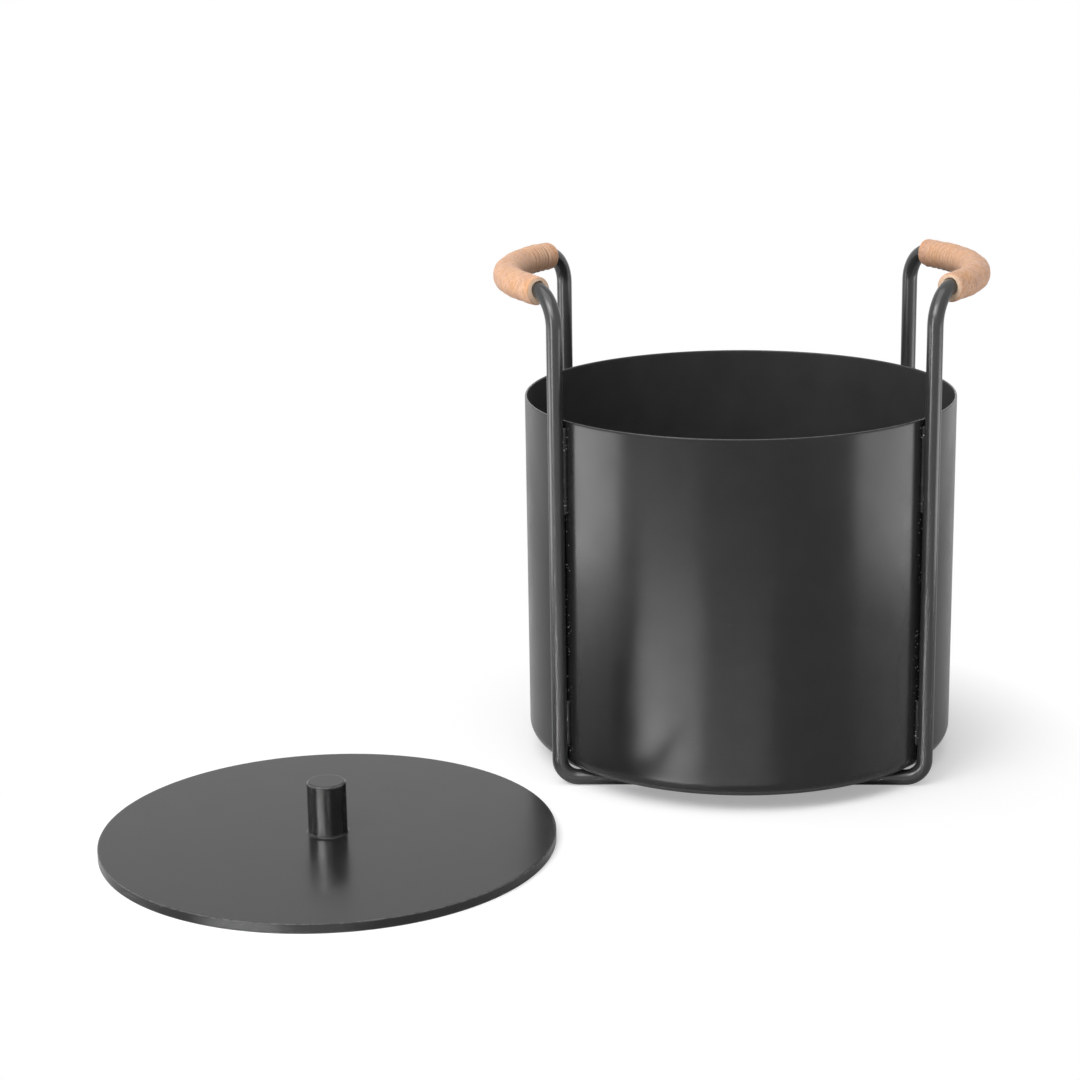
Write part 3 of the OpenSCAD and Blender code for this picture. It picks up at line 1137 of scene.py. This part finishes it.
studio = {
    "paperWide": 1.2,        # a roll of paper, running away from the camera
    "paperLong": 9,
    "paperFront": -2,
    "floorColour": 0.76,
    "varnish": 0.15,         # roughness of the floor's gloss, which only the coat mirrors
    "varnishIor": 1.8,
    "varnishColour": 0.74,
    "whiteShare": 0.34,      # what the floor shows of plain white, beside its own light
    "plainWhite": (0.128, 0.235),   # metres from either axis, between which the floor fades to white
    "air": 0.32,
    # name, middle and aim from the bucket's axis on the floor, width, height, power
    "lamps": [
        # the side panels stand beside the paper and reach below it, so that the wall mirrors them
        ("leftPanel", (-1.25, -0.23, -0.085), (0, -0.23, -0.085), 0.76, 0.33, 4.6),
        ("rightPanel", (1.25, -0.28, -0.085), (0, -0.28, -0.085), 0.96, 0.33, 3.9),
        ("frontLeftPanel", (-0.96, -0.80, -0.14), (0, 0, -0.14), 0.45, 0.22, 0.35),
        ("keyPanel", (-0.75, -0.95, 1.1), (0, 0, 0.15), 0.9, 0.7, 11),
        ("topPanel", (-0.3, -0.5, 2.1), (0, 0, 0.1), 2.0, 1.6, 20),
    ],
    "streaks": [
        # long soft lights on the bent bars alone
        ("bendStreak", (-0.75, -0.97, 0.29), (0, 0, 0.29), 0.24, 0.56, 5),
        ("bendSoft", (-0.30, -1.0, 1.0), (0, 0, 0.3), 0.9, 0.7, 8),
    ],
    "glints": [
        # seen only where the wall mirrors the floor's varnish, so they light nothing else
        ("frontGlint", (-0.92, -1.18, 0.45), (0, 0, 0.10), 0.86, 0.26, 80),
        ("frontGlintTail", (-0.10, -1.48, 0.45), (0, 0, 0.10), 1.00, 0.26, 14),
        ("leftGlint", (-1.25, -0.23, 0.22), (0, -0.23, 0.22), 0.76, 0.28, 5),
        ("rightGlint", (1.25, -0.28, 0.22), (0, -0.28, 0.22), 0.96, 0.28, 4),
    ],
    "glintDepth": 1.5,       # a ray has to be mirrored more often than this to see a glint
}


def makeFloor(settings):
    wide, long = settings["paperWide"], settings["paperLong"]
    deselectAll()
    bpy.ops.mesh.primitive_plane_add(size=1, location=(bucketAt.x, settings["paperFront"] + long / 2, 0))
    bpy.ops.transform.resize(value=(wide, long, 1))
    floor = settle("studioFloor")
    material = newMaterial("studioWhite")

    def mixed(share, first, second):
        node = addNode(material, "ShaderNodeMixShader")
        for socket, source in zip(node.inputs, (share, first, second)):
            link(material, source, socket)
        return node.outputs[0]

    def white(strength):
        return addNode(material, "ShaderNodeEmission", Color=(1, 1, 1, 1), Strength=strength).outputs[0]

    def grey(level):
        return (level, level, level, 1)

    paper = addNode(material, "ShaderNodeBsdfDiffuse", Color=grey(settings["floorColour"])).outputs[0]
    varnish = addNode(
        material, "ShaderNodeBsdfPrincipled", Base_Color=grey(settings["varnishColour"]),
        IOR=settings["varnishIor"], Roughness=settings["varnish"],
    ).outputs["BSDF"]
    whitened = addNode(material, "ShaderNodeAddShader")
    link(material, paper, whitened.inputs[0])
    link(material, white(settings["whiteShare"]), whitened.inputs[1])
    distances = [vectorOf(material, "DISTANCE", objectPlace(material), axis) for axis in (bucketAt, lidAt)]
    far = rangeOf(material, mathOf(material, "MINIMUM", *distances), *settings["plainWhite"], 0, 1)
    seen = mixed(far, whitened.outputs[0], white(1))
    rays = addNode(material, "ShaderNodeLightPath").outputs
    eyes = mathOf(material, "MAXIMUM", rays["Is Camera Ray"], rays["Is Transmission Ray"])
    finishMaterial(material, mixed(rays["Is Glossy Ray"], mixed(eyes, paper, seen), varnish))
    dress(floor, material)


def makeWorld(settings):
    # plain white for what is seen, directly, mirrored or through glass, and weaker as light
    world = bpy.data.worlds.new("studioAir")
    world.use_nodes = True
    world.node_tree.nodes.clear()
    bpy.context.scene.world = world
    rays = addNode(world, "ShaderNodeLightPath").outputs
    seen = mathOf(world, "MAXIMUM", rays["Is Camera Ray"], rays["Is Glossy Ray"])
    seen = mathOf(world, "MAXIMUM", seen, rays["Is Transmission Ray"])
    air = addNode(world, "ShaderNodeBackground", Color=(1, 1, 1, 1))
    link(world, rangeOf(world, seen, 0, 1, settings["air"], 1), air.inputs["Strength"])
    output = addNode(world, "ShaderNodeOutputWorld")
    link(world, air.outputs["Background"], output.inputs["Surface"])


def addPanel(name, middle, aim, width, height, power):
    outward = (Vector(middle) - Vector(aim)).normalized()
    bpy.ops.object.light_add(type="AREA", location=bucketAt + Vector(middle))
    lamp = bpy.context.object
    lamp.name = name
    lamp.rotation_euler = outward.to_track_quat("Z", "Y").to_euler()
    lamp.data.shape = "RECTANGLE"
    lamp.data.size, lamp.data.size_y = width, height
    lamp.data.energy = power
    lamp.visible_camera = False
    return lamp


def makeGlint(lamp, depth):
    lamp.visible_diffuse = False
    lamp.data.cycles.use_multiple_importance_sampling = False
    lamp.data.use_nodes = True
    rays = addNode(lamp.data, "ShaderNodeLightPath").outputs
    later = mathOf(lamp.data, "GREATER_THAN", rays["Ray Depth"], depth)
    link(lamp.data, later, lamp.data.node_tree.nodes["Emission"].inputs["Strength"])


def makeLamps(settings):
    for panel in settings["lamps"]:
        addPanel(*panel)
    bentBars = bpy.data.collections.new("bentBars")
    for piece in bpy.data.objects:
        if piece.name.endswith("Rod"):
            bentBars.objects.link(piece)
    for streak in settings["streaks"]:
        addPanel(*streak).light_linking.receiver_collection = bentBars
    for glint in settings["glints"]:
        makeGlint(addPanel(*glint), settings["glintDepth"])


makeFloor(studio)
makeWorld(studio)
makeLamps(studio)
print("studio lit")
